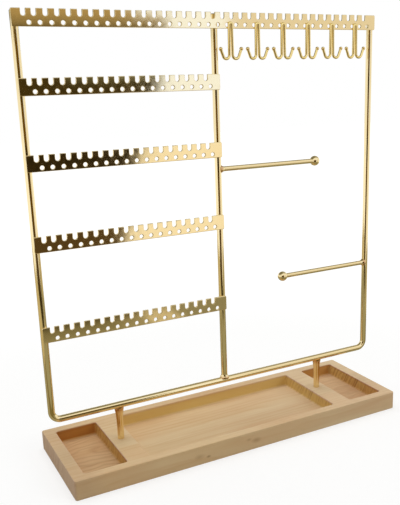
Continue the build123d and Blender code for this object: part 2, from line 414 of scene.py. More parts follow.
# ---------------------------------------------------------------- bars swept along a path
def swept_bar_tree():
    """Sweeps a round section along the object's own line, thicker or thinner by the points' girth."""
    tree, given = new_geometry_tree("swept_bar", (
        ("Radius", "NodeSocketFloat"), ("Sides", "NodeSocketInt"), ("Material", "NodeSocketMaterial"),
    ))
    line = add(tree, "GeometryNodeMeshToCurve", {"Mesh": given.outputs["Geometry"]})
    girth = add(tree, "GeometryNodeInputNamedAttribute", {"Name": "girth"}, data_type="FLOAT")
    section = add(tree, "GeometryNodeCurvePrimitiveCircle", {
        "Resolution": given.outputs["Sides"], "Radius": given.outputs["Radius"],
    })
    swept = add(tree, "GeometryNodeCurveToMesh", {
        "Curve": line, "Profile Curve": section, "Scale": girth, "Fill Caps": True,
    })
    return end_geometry_tree(tree, swept, given.outputs["Material"])


def swept_bar(name, path, radius, sides, material):
    """A round bar along path, a list of points each with its girth in radii."""
    mesh = bpy.data.meshes.new(name)
    mesh.from_pydata([point for point, _ in path], [(n, n + 1) for n in range(len(path) - 1)], [])
    girth = mesh.attributes.new("girth", "FLOAT", "POINT")
    girth.data.foreach_set("value", [share for _, share in path])
    bar = new_object(name, mesh)
    modifier = bar.modifiers.new("swept_bar", "NODES")
    modifier.node_group = bpy.data.node_groups.get("swept_bar") or swept_bar_tree()
    modifier_inputs(modifier, {"Radius": radius, "Sides": sides, "Material": material})
    shade(settle(bar), BAR_SHARP)
    return bar


def bend(centre, first, second, angle, steps):
    """Points on an arc about centre, from centre + first towards second, both of the arc's radius."""
    turns = [angle * n / steps for n in range(steps + 1)]
    return [centre + first * cos(turn) + second * sin(turn) for turn in turns]


def flared_start(root, way, radius, rods, flare, end, steps=12):
    """The first points of a bar that is welded on: a polished fillet that widens towards the other rod."""
    path = []
    for n in range(steps + 1):
        place = rods.welded_start + (end - rods.welded_start) * n / steps
        rise = flare * min(1.0, (end - place) / (end - ROD_RADIUS)) ** 2
        path.append((root + way * place, 1 + rise / radius))
    return path


def sphere_radii(radius, from_place, to_place, steps):
    """(place along the axis, radius there) on a sphere about 0."""
    rows = []
    for n in range(steps + 1):
        place = from_place + (to_place - from_place) * (1 - cos(pi * n / steps)) / 2
        rows.append((place, max(sqrt(max(0.0, radius * radius - place * place)), POLE_RADIUS)))
    return rows


# ---------------------------------------------------------------- flat plates with rounded edges
def left_of(a, b):
    """Unit vector to the left of the way from a to b."""
    way = (b - a).normalized()
    return Vector((-way.y, way.x))


def mirrored(point, about):
    """A point mirrored at the upright line through another one."""
    return Vector((2 * about.x - point.x, point.y))


def inset(chain, distance, closed=True):
    """A chain of flat points moved to its left, where the material is. An open one ends at cut lines."""
    moved = []
    for n, here in enumerate(chain):
        before = chain[n - 1] if closed or n else mirrored(chain[1], here)
        after = chain[(n + 1) % len(chain)] if closed or n < len(chain) - 1 else mirrored(chain[-2], here)
        a, b = left_of(before, here), left_of(here, after)
        moved.append(here + (a + b) * (distance / (1 + a.dot(b))))
    return moved


def arc(x, y, radius, start, turn, steps):
    """Flat points on an arc about (x, y), from a start angle, in radians."""
    angles = [start + turn * n / steps for n in range(steps + 1)]
    return [Vector((x + radius * cos(a), y + radius * sin(a))) for a in angles]


def rounded_rectangle(x0, x1, y0, y1, radius, steps=6):
    """A closed chain, anticlockwise."""
    corners = ((x1, y0, -pi / 2), (x1, y1, 0.0), (x0, y1, pi / 2), (x0, y0, pi))
    chain = []
    for x, y, start in corners:
        inner_x = x - radius if x == x1 else x + radius
        inner_y = y - radius if y == y1 else y + radius
        chain += arc(inner_x, inner_y, radius, start, pi / 2, steps)
    return chain


def circle(x, y, radius, steps=24):
    """A closed chain, clockwise, because the material is outside it."""
    return arc(x, y, radius, 0.0, -2 * pi, steps)[:-1]


def rounding(radius, level, way, steps=3):
    """(inset, height) pairs that round an edge: from the flat face at level, down the way given."""
    turns = [pi / 2 * n / steps for n in range(steps + 1)]
    return [(radius * (1 - sin(a)), level + way * radius * (1 - cos(a))) for a in turns]


def add_wall(bm, chain, profile, closed, place):
    """Rings of vertices down a profile, with faces between them. Gives the first and the last ring."""
    rings = []
    for distance, height in profile:
        flat = inset(chain, distance, closed)
        rings.append([bm.verts.new(place(point, height)) for point in flat])
    count = len(chain)
    for upper, lower in zip(rings, rings[1:]):
        for n in range(count if closed else count - 1):
            m = (n + 1) % count
            bm.faces.new((upper[n], lower[n], lower[m], upper[m]))
    return rings[0], rings[-1]


def add_cap(bm, outer, holes, flat):
    """Fills a flat face between an outer ring and the rings of its holes."""
    loops = [outer, *holes]
    verts = [vert for loop in loops for vert in loop]
    for triangle in tessellate_polygon([[flat(vert.co) for vert in loop] for loop in loops]):
        bm.faces.new([verts[n] for n in triangle])


def finish_bmesh(bm, name):
    """Closes the seams, turns every face outwards and gives the mesh."""
    bmesh.ops.remove_doubles(bm, verts=bm.verts, dist=SAME_POINT)
    bmesh.ops.recalc_face_normals(bm, faces=bm.faces)
    mesh = bpy.data.meshes.new(name)
    bm.to_mesh(mesh)
    bm.free()
    return mesh


# ---------------------------------------------------------------- materials
def gilt_plate(name, tone, heated_tone):
    """Gold plated steel, polished before plating.

    To the eye it is a warm mirror: reflections are nearly sharp, bent a little by a surface that is not
    quite flat, and dulled in places by the plating. Where a bar widens at its weld, the heat has left a
    redder tone.
    """
    material, tree = new_material(name)
    place = add(tree, "ShaderNodeTexCoord").outputs["Object"]
    swell = add(tree, "ShaderNodeTexNoise", {"Vector": place, "Scale": 1 / (14 * MM), "Detail": 1.0})
    haze = add(tree, "ShaderNodeTexNoise", {"Vector": place, "Scale": 1 / (5 * MM), "Detail": 4.0})
    roughness = add(tree, "ShaderNodeMapRange", {
        "Value": haze, "From Min": 0.35, "From Max": 0.75, "To Min": 0.07, "To Max": 0.13,
    })
    bump = add(tree, "ShaderNodeBump", {"Height": swell, "Strength": 0.12, "Distance": 0.08 * MM})
    girth = Amount(tree, add(tree, "ShaderNodeAttribute", attribute_name="girth").outputs["Fac"])
    heated = girth.rising(1.2, 1.4, 0.6)
    plating = add(tree, "ShaderNodeMix", {"Factor": heated, "A": tone, "B": heated_tone}, data_type="RGBA")
    shader = add(tree, "ShaderNodeBsdfPrincipled", {
        "Base Color": plating, "Metallic": 1.0, "Roughness": roughness, "Normal": bump,
    })
    add(tree, "ShaderNodeOutputMaterial", {"Surface": shader})
    return material


def zinc_plate(dull, bright):
    """Zinc plated steel of the screws and washers: a cool, slightly mottled, half-dull metal."""
    material, tree = new_material("zinc_plated_steel")
    place = add(tree, "ShaderNodeTexCoord").outputs["Object"]
    mottle = add(tree, "ShaderNodeTexNoise", {"Vector": place, "Scale": 1 / (1.5 * MM), "Detail": 3.0})
    tone = add(tree, "ShaderNodeMix", {"Factor": mottle, "A": dull, "B": bright}, data_type="RGBA")
    shader = add(tree, "ShaderNodeBsdfPrincipled", {
        "Base Color": tone, "Metallic": 1.0, "Roughness": 0.34,
    })
    add(tree, "ShaderNodeOutputMaterial", {"Surface": shader})
    return material


# ---------------------------------------------------------------- the tray's wood
class BoardPoint:
    """What the wood's pattern is worked out from at a point: where it is, and on which surface.

    Apart from x, y and z, each is 1 where its name holds and 0 where it doesn't: on a level face, a wall
    or end grain, at the lip of the tray's top, within the rims as seen from above, inside a pocket, in an
    end pocket, in the left half, and on the tray's outer ends.
    """

    def __init__(self, tree, tray):
        self.tree = tree
        self.place = add(tree, "ShaderNodeTexCoord").outputs["Object"]
        axes = add(tree, "ShaderNodeSeparateXYZ", {"Vector": self.place})
        self.x, self.y, self.z = (Amount(tree, axes.outputs[axis]) for axis in "XYZ")
        normal = add(tree, "ShaderNodeNewGeometry").outputs["Normal"]
        facing = add(tree, "ShaderNodeSeparateXYZ", {"Vector": normal})
        self.level = abs(Amount(tree, facing.outputs["Z"]))
        self.wall = 1.0 - self.level
        self.end_grain = abs(Amount(tree, facing.outputs["X"])) ** 2.0
        x_abs, y_abs = abs(self.x), abs(self.y)
        self.in_plan = (x_abs < TRAY_RIGHT - tray.end_rim / 2) * (y_abs < TRAY_BACK - tray.long_rim / 2)
        self.lip = self.z.rising(TRAY_TOP - 2.5 * MM, TRAY_TOP - 0.6 * MM)
        self.inside = self.in_plan * (1.0 - self.lip)
        self.end_pocket = x_abs > LEG_X
        self.left = self.x < 0.0
        self.outer_end = self.end_grain * (1.0 - self.inside)

    def lumps(self, x, y, z, detail=2.0):
        """Soft noise with lumps of that size in millimetres along each axis."""
        scale = [1 / (size * MM) for size in (x, y, z)]
        stretched = add(self.tree, "ShaderNodeMapping", {"Vector": self.place, "Scale": scale})
        inputs = {"Vector": stretched, "Scale": 1.0, "Detail": detail}
        return Amount(self.tree, add(self.tree, "ShaderNodeTexNoise", inputs))

    def lines(self, width):
        """Noise that changes only across the board, in lines of that width that lean a little."""
        inputs = {"W": (self.y + self.z * 0.5) / width, "Scale": 1.0, "Detail": 2.0}
        return Amount(self.tree, add(self.tree, "ShaderNodeTexNoise", inputs, noise_dimensions="1D"))


def late_wood_share(at, tray, heart):
    """How much of a year's dark line shows: wavy rings about the heart, clearer in places.

    Each ring darkens slowly through the year and turns pale again at its end.
    """
    across, upward = at.y - heart[0], at.z - heart[1]
    distance = (across * across + upward * upward).then("SQRT")
    slow_waves = at.lumps(143, 22.2, 22.2) * 3.2
    quick_waves = at.lumps(55.6, 6.67, 6.67) * 0.6
    rings = distance / tray.ring_pitch + slow_waves + quick_waves
    year = add(at.tree, "ShaderNodeValToRGB", {"Fac": rings.then("FRACT")})
    stops = year.color_ramp.elements
    stops[1].color = stops[0].color
    for place, level in ((0.45, 0.18), (0.84, 1.0)):
        stops.new(place).color = (level, level, level, 1.0)
    clear = at.lumps(200, 16.7, 16.7).rising(0.34, 0.62)
    return Amount(at.tree, year) * (at.end_grain * 0.5 + clear * 0.4)


def grain_and_shade_coats(at, tray, late_wood, heart_tone):
    """The board's own grain, the tones that drift through it or change from end to end, and painted shade
    at the left end.
    """
    clouds = at.lumps(83.3, 14.3, 14.3, detail=4.0).rising(0.38, 0.68, 0.28)
    drift = at.lumps(50, 28.6, inf) * 34.0
    waves = (at.y * (2 * pi / tray.figure_pitch) + drift).then("SINE")
    end_floor = at.inside * at.end_pocket * at.level
    warmth = at.lumps(111, 33.3, 33.3).rising(0.4, 0.75, heart_tone)
    towards_right = at.x.rising(-40 * MM, 120 * MM, 0.22)
    # Painted shade towards the left end.
    left_rim = at.x.rising(-140 * MM, -160 * MM, 0.22)
    return [
        (late_wood.rising(0.0, 1.0), tray.late_wood, "MIX"),
        (clouds, tray.late_wood, "MIX"),
        (waves.rising(-0.2, 1.0, 0.22) * end_floor, tray.figure, "MIX"),
        (warmth, tray.heart_wood, "MIX"),
        (towards_right, tray.pale_wood, "MIX"),
        (left_rim, tray.left_shade, "MIX"),
        (at.outer_end * 0.55, tray.end_wood, "MIX"),
    ]


def streak_coat(at, tray, depth):
    """Dark streaks in the end grain, weaker in the left half and on the tray's outer ends."""
    bands = (at.lines(tray.streak_width).rising(0.42, 0.66)
             * at.lines(tray.streak_width * 5).rising(0.36, 0.58))
    shown = 1.0 - at.left.then("MAXIMUM", at.outer_end) * 0.6
    return bands * at.end_grain * shown * depth, tray.streak, "MULTIPLY"


def pocket_light_and_shade_coats(at, tray):
    """Painted light and shade in the pockets.

    The end pockets' long walls and floors get painted shade, and all walls a warm painted bounce light.
    The middle pocket's walls get painted light, above all near the floor, and the mouths have a darker
    edge.
    """
    long_wall = at.wall * (1.0 - at.end_grain * 0.75)
    # Painted shade in the end pockets, most on the long walls and less on the floors.
    end_pocket_shade = long_wall * (at.left * 0.18 + 0.82) + at.level * 0.35
    low_wall = at.z.rising(tray.floor + 6.5 * MM, tray.floor + 3.5 * MM)
    # Painted light on the middle pocket's walls, strongest near the floor.
    middle_wall_light = at.inside * at.wall * (1.0 - at.end_pocket) * (low_wall * 0.35 + 0.3)
    mouth = at.lip * (1.0 - at.lip) * 4.0 * at.wall * at.in_plan * (at.end_pocket * 0.55 + 0.2)
    return [
        (at.inside * at.end_pocket * end_pocket_shade, tray.end_pocket_shade, "MULTIPLY"),
        (middle_wall_light, tray.early_wood, "MIX"),
        # Painted bounce light on all walls inside the pockets.
        (at.inside * at.wall.then("SQRT"), tray.pocket_bounce, "MULTIPLY"),
        (mouth, tray.end_pocket_shade, "MULTIPLY"),
    ]


def front_coats(at, tray):
    """Painted light that lightens the wood about the middle of the tray's front, and the pin knots in it.
    """
    front = at.y < TRAY_FRONT + MM
    # Painted light: a lighter patch on the front face about its middle.
    front_light = abs(at.x - 20 * MM).rising(85 * MM, 30 * MM, 0.35)
    coats = [(front_light * front * at.wall, tray.early_wood, "MIX")]
    for x, z, radius, depth in PIN_KNOTS:
        aside, above = at.x - x * MM, at.z - z * MM
        # A knot is drawn out along the grain, so a step along it counts for less.
        reach = (aside * aside * 0.3 + above * above).then("SQRT")
        spot = 1.0 - reach.rising(0.2 * MM, radius * MM)
        coats.append((spot * front * depth, tray.knot, "MIX"))
    return coats


def pine(name, tray, heart, heart_tone, streak_depth):
    """Sanded bare pine, one board with its own heart, the (y, z) place of the tree's middle.

    Growth rings run through the solid, so the top shows fine lines along the board and the end grain
    shows the rings themselves, as dark streaks. Over the early wood, each coat lays a tint where its
    share is more than 0.
    """
    material, tree = new_material(name)
    at = BoardPoint(tree, tray)
    # Real fibres are much finer. These are as coarse as the picture needs to show them.
    fibres = at.lumps(71.4, 3.03, 3.03)
    late_wood = late_wood_share(at, tray, heart) + (fibres - 0.5) * 0.4
    coats = grain_and_shade_coats(at, tray, late_wood, heart_tone)
    coats.append(streak_coat(at, tray, streak_depth))
    coats += pocket_light_and_shade_coats(at, tray)
    coats += front_coats(at, tray)
    tone = tray.early_wood
    for share, tint, blend in coats:
        tone = add(tree, "ShaderNodeMix", {"Factor": share, "A": tone, "B": tint}, data_type="RGBA",
                   blend_type=blend)
    bump = add(tree, "ShaderNodeBump", {"Height": fibres, "Strength": 0.35, "Distance": 0.05 * MM})
    shader = add(tree, "ShaderNodeBsdfPrincipled", {
        "Base Color": tone, "Roughness": 0.62, "IOR": 1.5, "Specular IOR Level": 0.35, "Normal": bump,
    })
    add(tree, "ShaderNodeOutputMaterial", {"Surface": shader})
    return material


# ---------------------------------------------------------------- the tray
def tray_mesh(tray):
    """The whole milled panel: three pockets, sanded edges and the two screw holes."""
    bm = bmesh.new()
    bore, recess = tray.screw_hole / 2, tray.counterbore / 2

    def place(point, height):
        return Vector((point.x, point.y, height))

    outer = rounded_rectangle(TRAY_LEFT, TRAY_RIGHT, TRAY_FRONT, TRAY_BACK, tray.outer_corner)
    sides = rounding(tray.top_edge, TRAY_TOP, -1) + rounding(tray.bottom_edge, 0.0, 1)[::-1]
    top, bottom = add_wall(bm, outer, sides, True, place)
    first = TRAY_LEFT + tray.end_rim
    second = first + tray.side_pocket + tray.divider
    pocket_ends = ((first, first + tray.side_pocket), (second, -second),
                   (-first - tray.side_pocket, -first))
    top_holes, bottom_holes = [], []
    for left, right in pocket_ends:
        chain = rounded_rectangle(left, right, TRAY_FRONT + tray.long_rim, TRAY_BACK - tray.long_rim,
                                  tray.pocket_corner)[::-1]
        cove = [(-tray.cove * (1 - cos(a)), tray.floor + tray.cove * (1 - sin(a)))
                for a in (pi / 12 * n for n in range(7))]
        mouth, floor = add_wall(bm, chain, rounding(tray.top_edge, TRAY_TOP, -1) + cove, True, place)
        add_cap(bm, floor, [], lambda co: co)
        top_holes.append(mouth)
    for x in (-LEG_X, LEG_X):
        profile = ((0.0, TRAY_TOP), (0.0, tray.counterbore_depth), (recess - bore, tray.counterbore_depth),
                   (recess - bore, 0.0))
        mouth, foot = add_wall(bm, circle(x, 0.0, bore), profile, True, place)
        top_holes.append(mouth)
        bottom_holes.append(foot)
    add_cap(bm, top, top_holes, lambda co: co)
    add_cap(bm, bottom, bottom_holes, lambda co: co)
    return finish_bmesh(bm, "whole_tray")


def stave(whole, name, front, back, material):
    """The board of the tray between two glue lines, closed where it is glued."""
    bm = bmesh.new()
    bm.from_mesh(whole)
    for y, way in ((front, -1), (back, 1)):
        everything = bm.verts[:] + bm.edges[:] + bm.faces[:]
        bmesh.ops.bisect_plane(bm, geom=everything, plane_co=(0, y, 0), plane_no=(0, way, 0),
                               clear_outer=True)
        bmesh.ops.holes_fill(bm, edges=[edge for edge in bm.edges if edge.is_boundary], sides=0)
    bmesh.ops.triangulate(bm, faces=[face for face in bm.faces if len(face.verts) > 4])
    mesh = finish_bmesh(bm, name)
    mesh.materials.append(material)
    shade(mesh, PLATE_SHARP)
    board = new_object(name, mesh)
    weigh_normals(board)
    return board


class STAND_OT_tray(Operator):
    """Build the wooden tray from its three glued boards"""
    bl_idname = "stand.tray"
    bl_label = "Wooden tray"

    def execute(self, context):
        tray = context.scene.stand_tray
        whole = tray_mesh(tray)
        # A metre clear of the tray, where a cut takes nothing off.
        before, behind = TRAY_FRONT - 1.0, TRAY_BACK + 1.0
        # Each board with its cuts, its heart, and how much of the heart tone and the streaks it shows.
        boards = (
            ("tray_front", before, GLUE_LINES[0], (0.34, -0.10), 0.45, 0.4),
            ("tray_middle", *GLUE_LINES, (-0.15, -0.03), 0.12, 0.8),
            ("tray_back", GLUE_LINES[1], behind, (0.30, 0.16), 0.35, 0.65),
        )
        for name, front, back, heart, heart_tone, streak_depth in boards:
            wood = pine(name + "_pine", tray, heart, heart_tone, streak_depth)
            stand_for(stave(whole, name + "_board", front, back, wood), name + "_stave")
        bpy.data.meshes.remove(whole)
        return {"FINISHED"}


# ---------------------------------------------------------------- the rods
def gilt():
    """The gold plating of the rods and strips, made once."""
    rods = bpy.context.scene.stand_rods
    name = "gold_plated_steel"
    return bpy.data.materials.get(name) or gilt_plate(name, rods.gilt, rods.heated_gilt)


def gilt_bar(name, node, line, radius, rods):
    """A gilt bar along a line, in the place of its node."""
    stand_for(swept_bar(name, line, radius, rods.sides, gilt()), node)


def in_plane(x, z):
    """A place in the upright plane in which the rods' axes lie."""
    return Vector((x, 0, z))


class STAND_OT_frame(Operator):
    """Bend the outer frame and weld the middle upright onto it"""
    bl_idname = "stand.frame"
    bl_label = "Rod frame"

    def execute(self, context):
        rods = context.scene.stand_rods
        slim, shoulder = 1 - rods.end_chamfer / ROD_RADIUS, FRAME_TOP - rods.end_chamfer
        across, up = in_plane(rods.bend_radius, 0), in_plane(0, rods.bend_radius)
        line = [(in_plane(-UPRIGHT_X, FRAME_TOP), slim), (in_plane(-UPRIGHT_X, shoulder), 1.0)]
        left_bend = in_plane(-UPRIGHT_X, BAR_Z) + across + up
        line += [(point, 1.0) for point in bend(left_bend, -across, -up, pi / 2, rods.bend_steps)]
        right_bend = in_plane(UPRIGHT_X, BAR_Z) - across + up
        line += [(point, 1.0) for point in bend(right_bend, -up, across, pi / 2, rods.bend_steps)]
        line += [(in_plane(UPRIGHT_X, shoulder), 1.0), (in_plane(UPRIGHT_X, FRAME_TOP), slim)]
        gilt_bar("outer_frame_rod", "outer_frame", line, ROD_RADIUS, rods)

        line = flared_start(in_plane(0, BAR_Z), in_plane(0, 1), ROD_RADIUS, rods, rods.bead, rods.bead_end)
        line += [(in_plane(0, shoulder), 1.0), (in_plane(0, FRAME_TOP), slim)]
        gilt_bar("centre_upright_rod", "centre_upright", line, ROD_RADIUS, rods)
        return {"FINISHED"}


class STAND_OT_legs(Operator):
    """Stand the two legs on the tray's dividers"""
    bl_idname = "stand.legs"
    bl_label = "Legs"

    def execute(self, context):
        rods = context.scene.stand_rods
        for node, x in (("left_leg", -LEG_X), ("right_leg", LEG_X)):
            root, down = in_plane(x, BAR_Z), in_plane(0, -1)
            line = flared_start(root, down, ROD_RADIUS, rods, rods.leg_flare, rods.leg_flare_end)
            line.append((in_plane(x, TRAY_TOP), 1.0))
            gilt_bar(node + "_post", node, line, ROD_RADIUS, rods)
        return {"FINISHED"}


class STAND_OT_arms(Operator):
    """Make the two arms and the ball on the end of each"""
    bl_idname = "stand.arms"
    bl_label = "Arms and balls"

    def execute(self, context):
        rods, arms = context.scene.stand_rods, context.scene.stand_arms
        radius = arms.diameter / 2
        for which, root_x in (("upper", 0.0), ("lower", UPRIGHT_X)):
            ball_node, arm_node = which + "_arm_ball", which + "_arm"
            z = middle(arm_node, 2)
            ball_radius = (span(ball_node, 1)[1] - span(ball_node, 1)[0]) / 2
            way = 1 if middle(ball_node, 0) > root_x else -1
            ends = span(ball_node, 0)
            ball_x = ends[1] - ball_radius if way > 0 else ends[0] + ball_radius
            root, out = in_plane(root_x, z), in_plane(way, 0)
            reach = abs(ball_x - root_x) - ball_radius + arms.socket
            line = flared_start(root, out, radius, rods, rods.bead, rods.bead_end)
            line.append((root + out * reach, 1.0))
            gilt_bar(which + "_arm_bar", arm_node, line, radius, rods)
            neck_end = -sqrt(ball_radius ** 2 - (radius + arms.neck) ** 2)
            neck_radius = radius * 1.01     # a hair over the arm's, so that their surfaces don't coincide
            rows = [(neck_end - arms.neck, neck_radius)]
            rows += sphere_radii(ball_radius, neck_end, ball_radius, arms.ball_rings)
            line = [(in_plane(ball_x, z) + out * place, here / ball_radius) for place, here in rows]
            gilt_bar(which + "_ball", ball_node, line, ball_radius, rods)
        return {"FINISHED"}


# ---------------------------------------------------------------- the comb strips
def comb_tree():
    """Repeats one tooth along a strip and joins the strip's two ends to it."""
    tree, given = new_geometry_tree("comb_strip", (
        ("Teeth", "NodeSocketInt"), ("Pitch", "NodeSocketFloat"), ("Left end", "NodeSocketObject"),
        ("Right end", "NodeSocketObject"), ("Material", "NodeSocketMaterial"),
    ))
    step = add(tree, "ShaderNodeCombineXYZ", {"X": given.outputs["Pitch"]})
    row = add(tree, "GeometryNodeMeshLine", {"Count": given.outputs["Teeth"], "Offset": step})
    teeth = add(tree, "GeometryNodeInstanceOnPoints", {
        "Points": row, "Instance": given.outputs["Geometry"],
    })
    left = add(tree, "GeometryNodeObjectInfo", {"Object": given.outputs["Left end"]})
    right = add(tree, "GeometryNodeObjectInfo", {"Object": given.outputs["Right end"]})
    run = Amount(tree, given.outputs["Teeth"]) * given.outputs["Pitch"]
    far = add(tree, "ShaderNodeCombineXYZ", {"X": run})
    right_end = add(tree, "GeometryNodeTransform", {
        "Geometry": right.outputs["Geometry"], "Translation": far,
    })
    joined = add(tree, "GeometryNodeJoinGeometry")
    for part in (right_end.outputs["Geometry"], teeth.outputs["Instances"], left.outputs["Geometry"]):
        tree.links.new(part, joined.inputs["Geometry"])
    return end_geometry_tree(tree, joined, given.outputs["Material"])


def comb_part(name, combs, height, bottom, top, hole_x=None):
    """Part of a strip between cut lines, from its lower and upper chains, in x and height."""
    bm = bmesh.new()
    profile = rounding(combs.front_round, STRIP_FRONT, 1, 2)
    profile += rounding(combs.back_round, STRIP_BACK, -1, 1)[::-1]

    def place(point, depth):
        return Vector((point.x, depth, point.y + height))

    def flat(co):
        return Vector((co.x, co.z, 0.0))

    walls = [add_wall(bm, chain, profile, False, place) for chain in (bottom, top) if chain]
    holes = []
    if hole_x is not None:
        rim = circle(hole_x, combs.hole_rise, combs.hole / 2, 20)
        holes.append(add_wall(bm, rim, profile, True, place))
    for side in (0, 1):
        outer = [vert for wall in walls for vert in wall[side]]
        add_cap(bm, outer, [hole[side] for hole in holes], flat)
    return new_object(name, finish_bmesh(bm, name))


def tooth_side(combs, strip_height, x, way):
    """Chain from a tooth's upper edge down into the slot at x; way is +1 with the tooth to the left."""
    half, r = combs.slot_width / 2, combs.tooth_corner
    floor = strip_height - combs.slot_depth + half
    edge = x - way * half
    corner = arc(edge - way * r, strip_height - r, r, pi / 2, -way * pi / 2, 2)
    curve = arc(x, floor, half, pi if way > 0 else 0.0, way * pi / 2, 5)
    return corner + curve


def comb_strip(name, node, slots, combs, material):
    """One strip: its left end with the first, narrower tooth, the teeth that repeat, and its right end."""
    left, right = span(node, 0)
    low, high = span(node, 2)
    height, pitch, r = high - low, combs.pitch, combs.corner
    narrow = combs.first_pitch
    start = narrow - combs.first_slot
    run = (slots - 2) * pitch
    right_slot = tooth_side(combs, height, pitch, 1)[::-1]
    left_slot = tooth_side(combs, height, 0.0, -1)
    base = [Vector((0, 0)), Vector((pitch, 0))]
    tooth = comb_part(name, combs, low, base, right_slot + left_slot, pitch / 2)
    end = left - start
    outline = tooth_side(combs, height, 0.0, 1)[::-1] + tooth_side(combs, height, -narrow, -1)
    outline += tooth_side(combs, height, -narrow, 1)[-2::-1]
    outline += arc(end + r, height - r, r, pi / 2, pi / 2, 4) + arc(end + r, r, r, pi, pi / 2, 4)
    outline.append(Vector((0, 0)))
    left_end = comb_part(name + "_left_end", combs, low, outline, None, -narrow / 2)
    end = right - start - run
    outline = [Vector((0, 0))]
    outline += arc(end - r, r, r, -pi / 2, pi / 2, 4) + arc(end - r, height - r, r, 0.0, pi / 2, 4)
    outline += left_slot
    right_end = comb_part(name + "_right_end", combs, low, outline, None, pitch / 2)
    modifier = tooth.modifiers.new("comb_strip", "NODES")
    modifier.node_group = bpy.data.node_groups.get("comb_strip") or comb_tree()
    modifier_inputs(modifier, {
        "Teeth": slots - 2, "Pitch": pitch, "Left end": left_end, "Right end": right_end,
        "Material": material,
    })
    shade(settle(tooth), PLATE_SHARP)
    for template in (left_end, right_end):
        bpy.data.objects.remove(template)
    tooth.data.transform(Matrix.Translation((start, 0, 0)))
    flatten_sides(tooth)
    stand_for(tooth, node)


class STAND_OT_combs(Operator):
    """Stamp the long comb strip at the top and the four short ones under it"""
    bl_idname = "stand.combs"
    bl_label = "Comb strips"

    def execute(self, context):
        combs = context.scene.stand_combs
        comb_strip("top_comb", "top_comb_strip", combs.long_slots, combs, gilt())
        for n in range(1, 5):
            comb_strip("short_comb_%d" % n, "short_comb_strip_%d" % n, combs.short_slots, combs, gilt())
        return {"FINISHED"}


# ---------------------------------------------------------------- the hooks
def hook_half(x, side, hooks, strip_bottom):
    """One side of a hook's line, from its loop down, out and up to the bead, with girths."""
    y = STRIP_FRONT - hooks.wire / 2 + WELD_SEAT
    loop_z = strip_bottom + hooks.overlap - hooks.wire / 2 - hooks.top_half_gap
    high = Vector((x + side * hooks.top_half_gap, y, loop_z))
    low = Vector((x + side * hooks.low_half_gap, y, strip_bottom - hooks.drop + hooks.turn_radius))
    down = (low - high).normalized()
    outward = Vector((side * cos(hooks.splay), -sin(hooks.splay), 0))
    outward = (outward - down * outward.dot(down)).normalized()
    turn_middle = low + outward * hooks.turn_radius
    to_start, to_lowest = -outward * hooks.turn_radius, down * hooks.turn_radius
    turned = bend(turn_middle, to_start, to_lowest, hooks.turn, steps=18)
    way = (outward * sin(hooks.turn) + down * cos(hooks.turn)).normalized()
    bead_centre = turned[-1] + way * hooks.tip
    bead, wire = hooks.bead / 2, hooks.wire / 2
    line = [(high, 1.0)] + [(point, 1.0) for point in turned]
    for place, radius in sphere_radii(bead, -sqrt(bead * bead - wire * wire), bead, steps=12):
        line.append((bead_centre + way * place, radius / wire))
    return line


class STAND_OT_hooks(Operator):
    """Bend the double hooks from wire and weld them under the top strip"""
    bl_idname = "stand.hooks"
    bl_label = "Double hooks"

    def execute(self, context):
        hooks = context.scene.stand_hooks
        strip_bottom = span("top_comb_strip", 2)[0]
        plating = gilt_plate("gold_plated_wire", hooks.gilt, context.scene.stand_rods.heated_gilt)
        nodes = sorted(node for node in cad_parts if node.startswith("hook_"))
        for n, node in enumerate(nodes):
            x = hooks.first_x + n * hooks.pitch
            left = hook_half(x, -1, hooks, strip_bottom)
            right = hook_half(x, 1, hooks, strip_bottom)
            crown = (left[0][0] + right[0][0]) / 2
            gap = Vector((hooks.top_half_gap, 0, 0))
            rise = Vector((0, 0, hooks.top_half_gap))
            loop = [(point, 1.0) for point in bend(crown, -gap, rise, pi, steps=10)]
            line = left[:0:-1] + loop + right[1:]
            wire = swept_bar(node + "_wire", line, hooks.wire / 2, hooks.sides, plating)
            stand_for(wire, node)
        return {"FINISHED"}


# ---------------------------------------------------------------- the fasteners
class STAND_OT_fasteners(Operator):
    """Give the leg screws and their washers their zinc plating"""
    bl_idname = "stand.fasteners"
    bl_label = "Screws and washers"

    def execute(self, context):
        fasteners = context.scene.stand_fasteners
        plate = zinc_plate(fasteners.dull_zinc, fasteners.bright_zinc)
        for node in ("leg_screws", "screw_washers"):
            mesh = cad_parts[node].data
            mesh.materials.clear()
            mesh.materials.append(plate)
        return {"FINISHED"}


# ---------------------------------------------------------------- the stage
WHITE = linear("#ffffff")
FRONT_CARDS_Y = -584        # the cards' places are in millimetres
BACK_CARD_Y = 900
CEILING_Z = 1200
DARK_ROOM_LEFT = -700


def seen_share(tree):
    """1 for what the camera sees straight, mirrored or through glass, and 0 for light on what is matt."""
    path = add(tree, "ShaderNodeLightPath")
    seen = Amount(tree, path.outputs["Is Camera Ray"])
    for ray in ("Is Glossy Ray", "Is Transmission Ray"):
        seen = seen.then("MAXIMUM", path.outputs[ray])
    return seen


def paper_floor(stage):
    """Matt pale paper. It shows the stand's soft shadow, and fades to plain white further out."""
    material, tree = new_material("matt_paper")
    seen = seen_share(tree)
    place = add(tree, "ShaderNodeTexCoord").outputs["Object"]
    away = add(tree, "ShaderNodeVectorMath", {0: place}, operation="LENGTH")
    whiteness = add(tree, "ShaderNodeMapRange", {
        "Value": away, "From Min": stage.fade_start, "From Max": stage.fade_end,
        "To Min": stage.whiteness,
    }, interpolation_type="SMOOTHSTEP")
    tone = add(tree, "ShaderNodeMix", {"Factor": seen, "A": stage.bounce, "B": stage.paper},
               data_type="RGBA")
    paper = add(tree, "ShaderNodeBsdfDiffuse", {"Color": tone})
    white = add(tree, "ShaderNodeEmission", {"Color": WHITE, "Strength": stage.glow})
    mixed = add(tree, "ShaderNodeMixShader", {0: seen * whiteness, 1: paper, 2: white})
    add(tree, "ShaderNodeOutputMaterial", {"Surface": mixed})
    return material


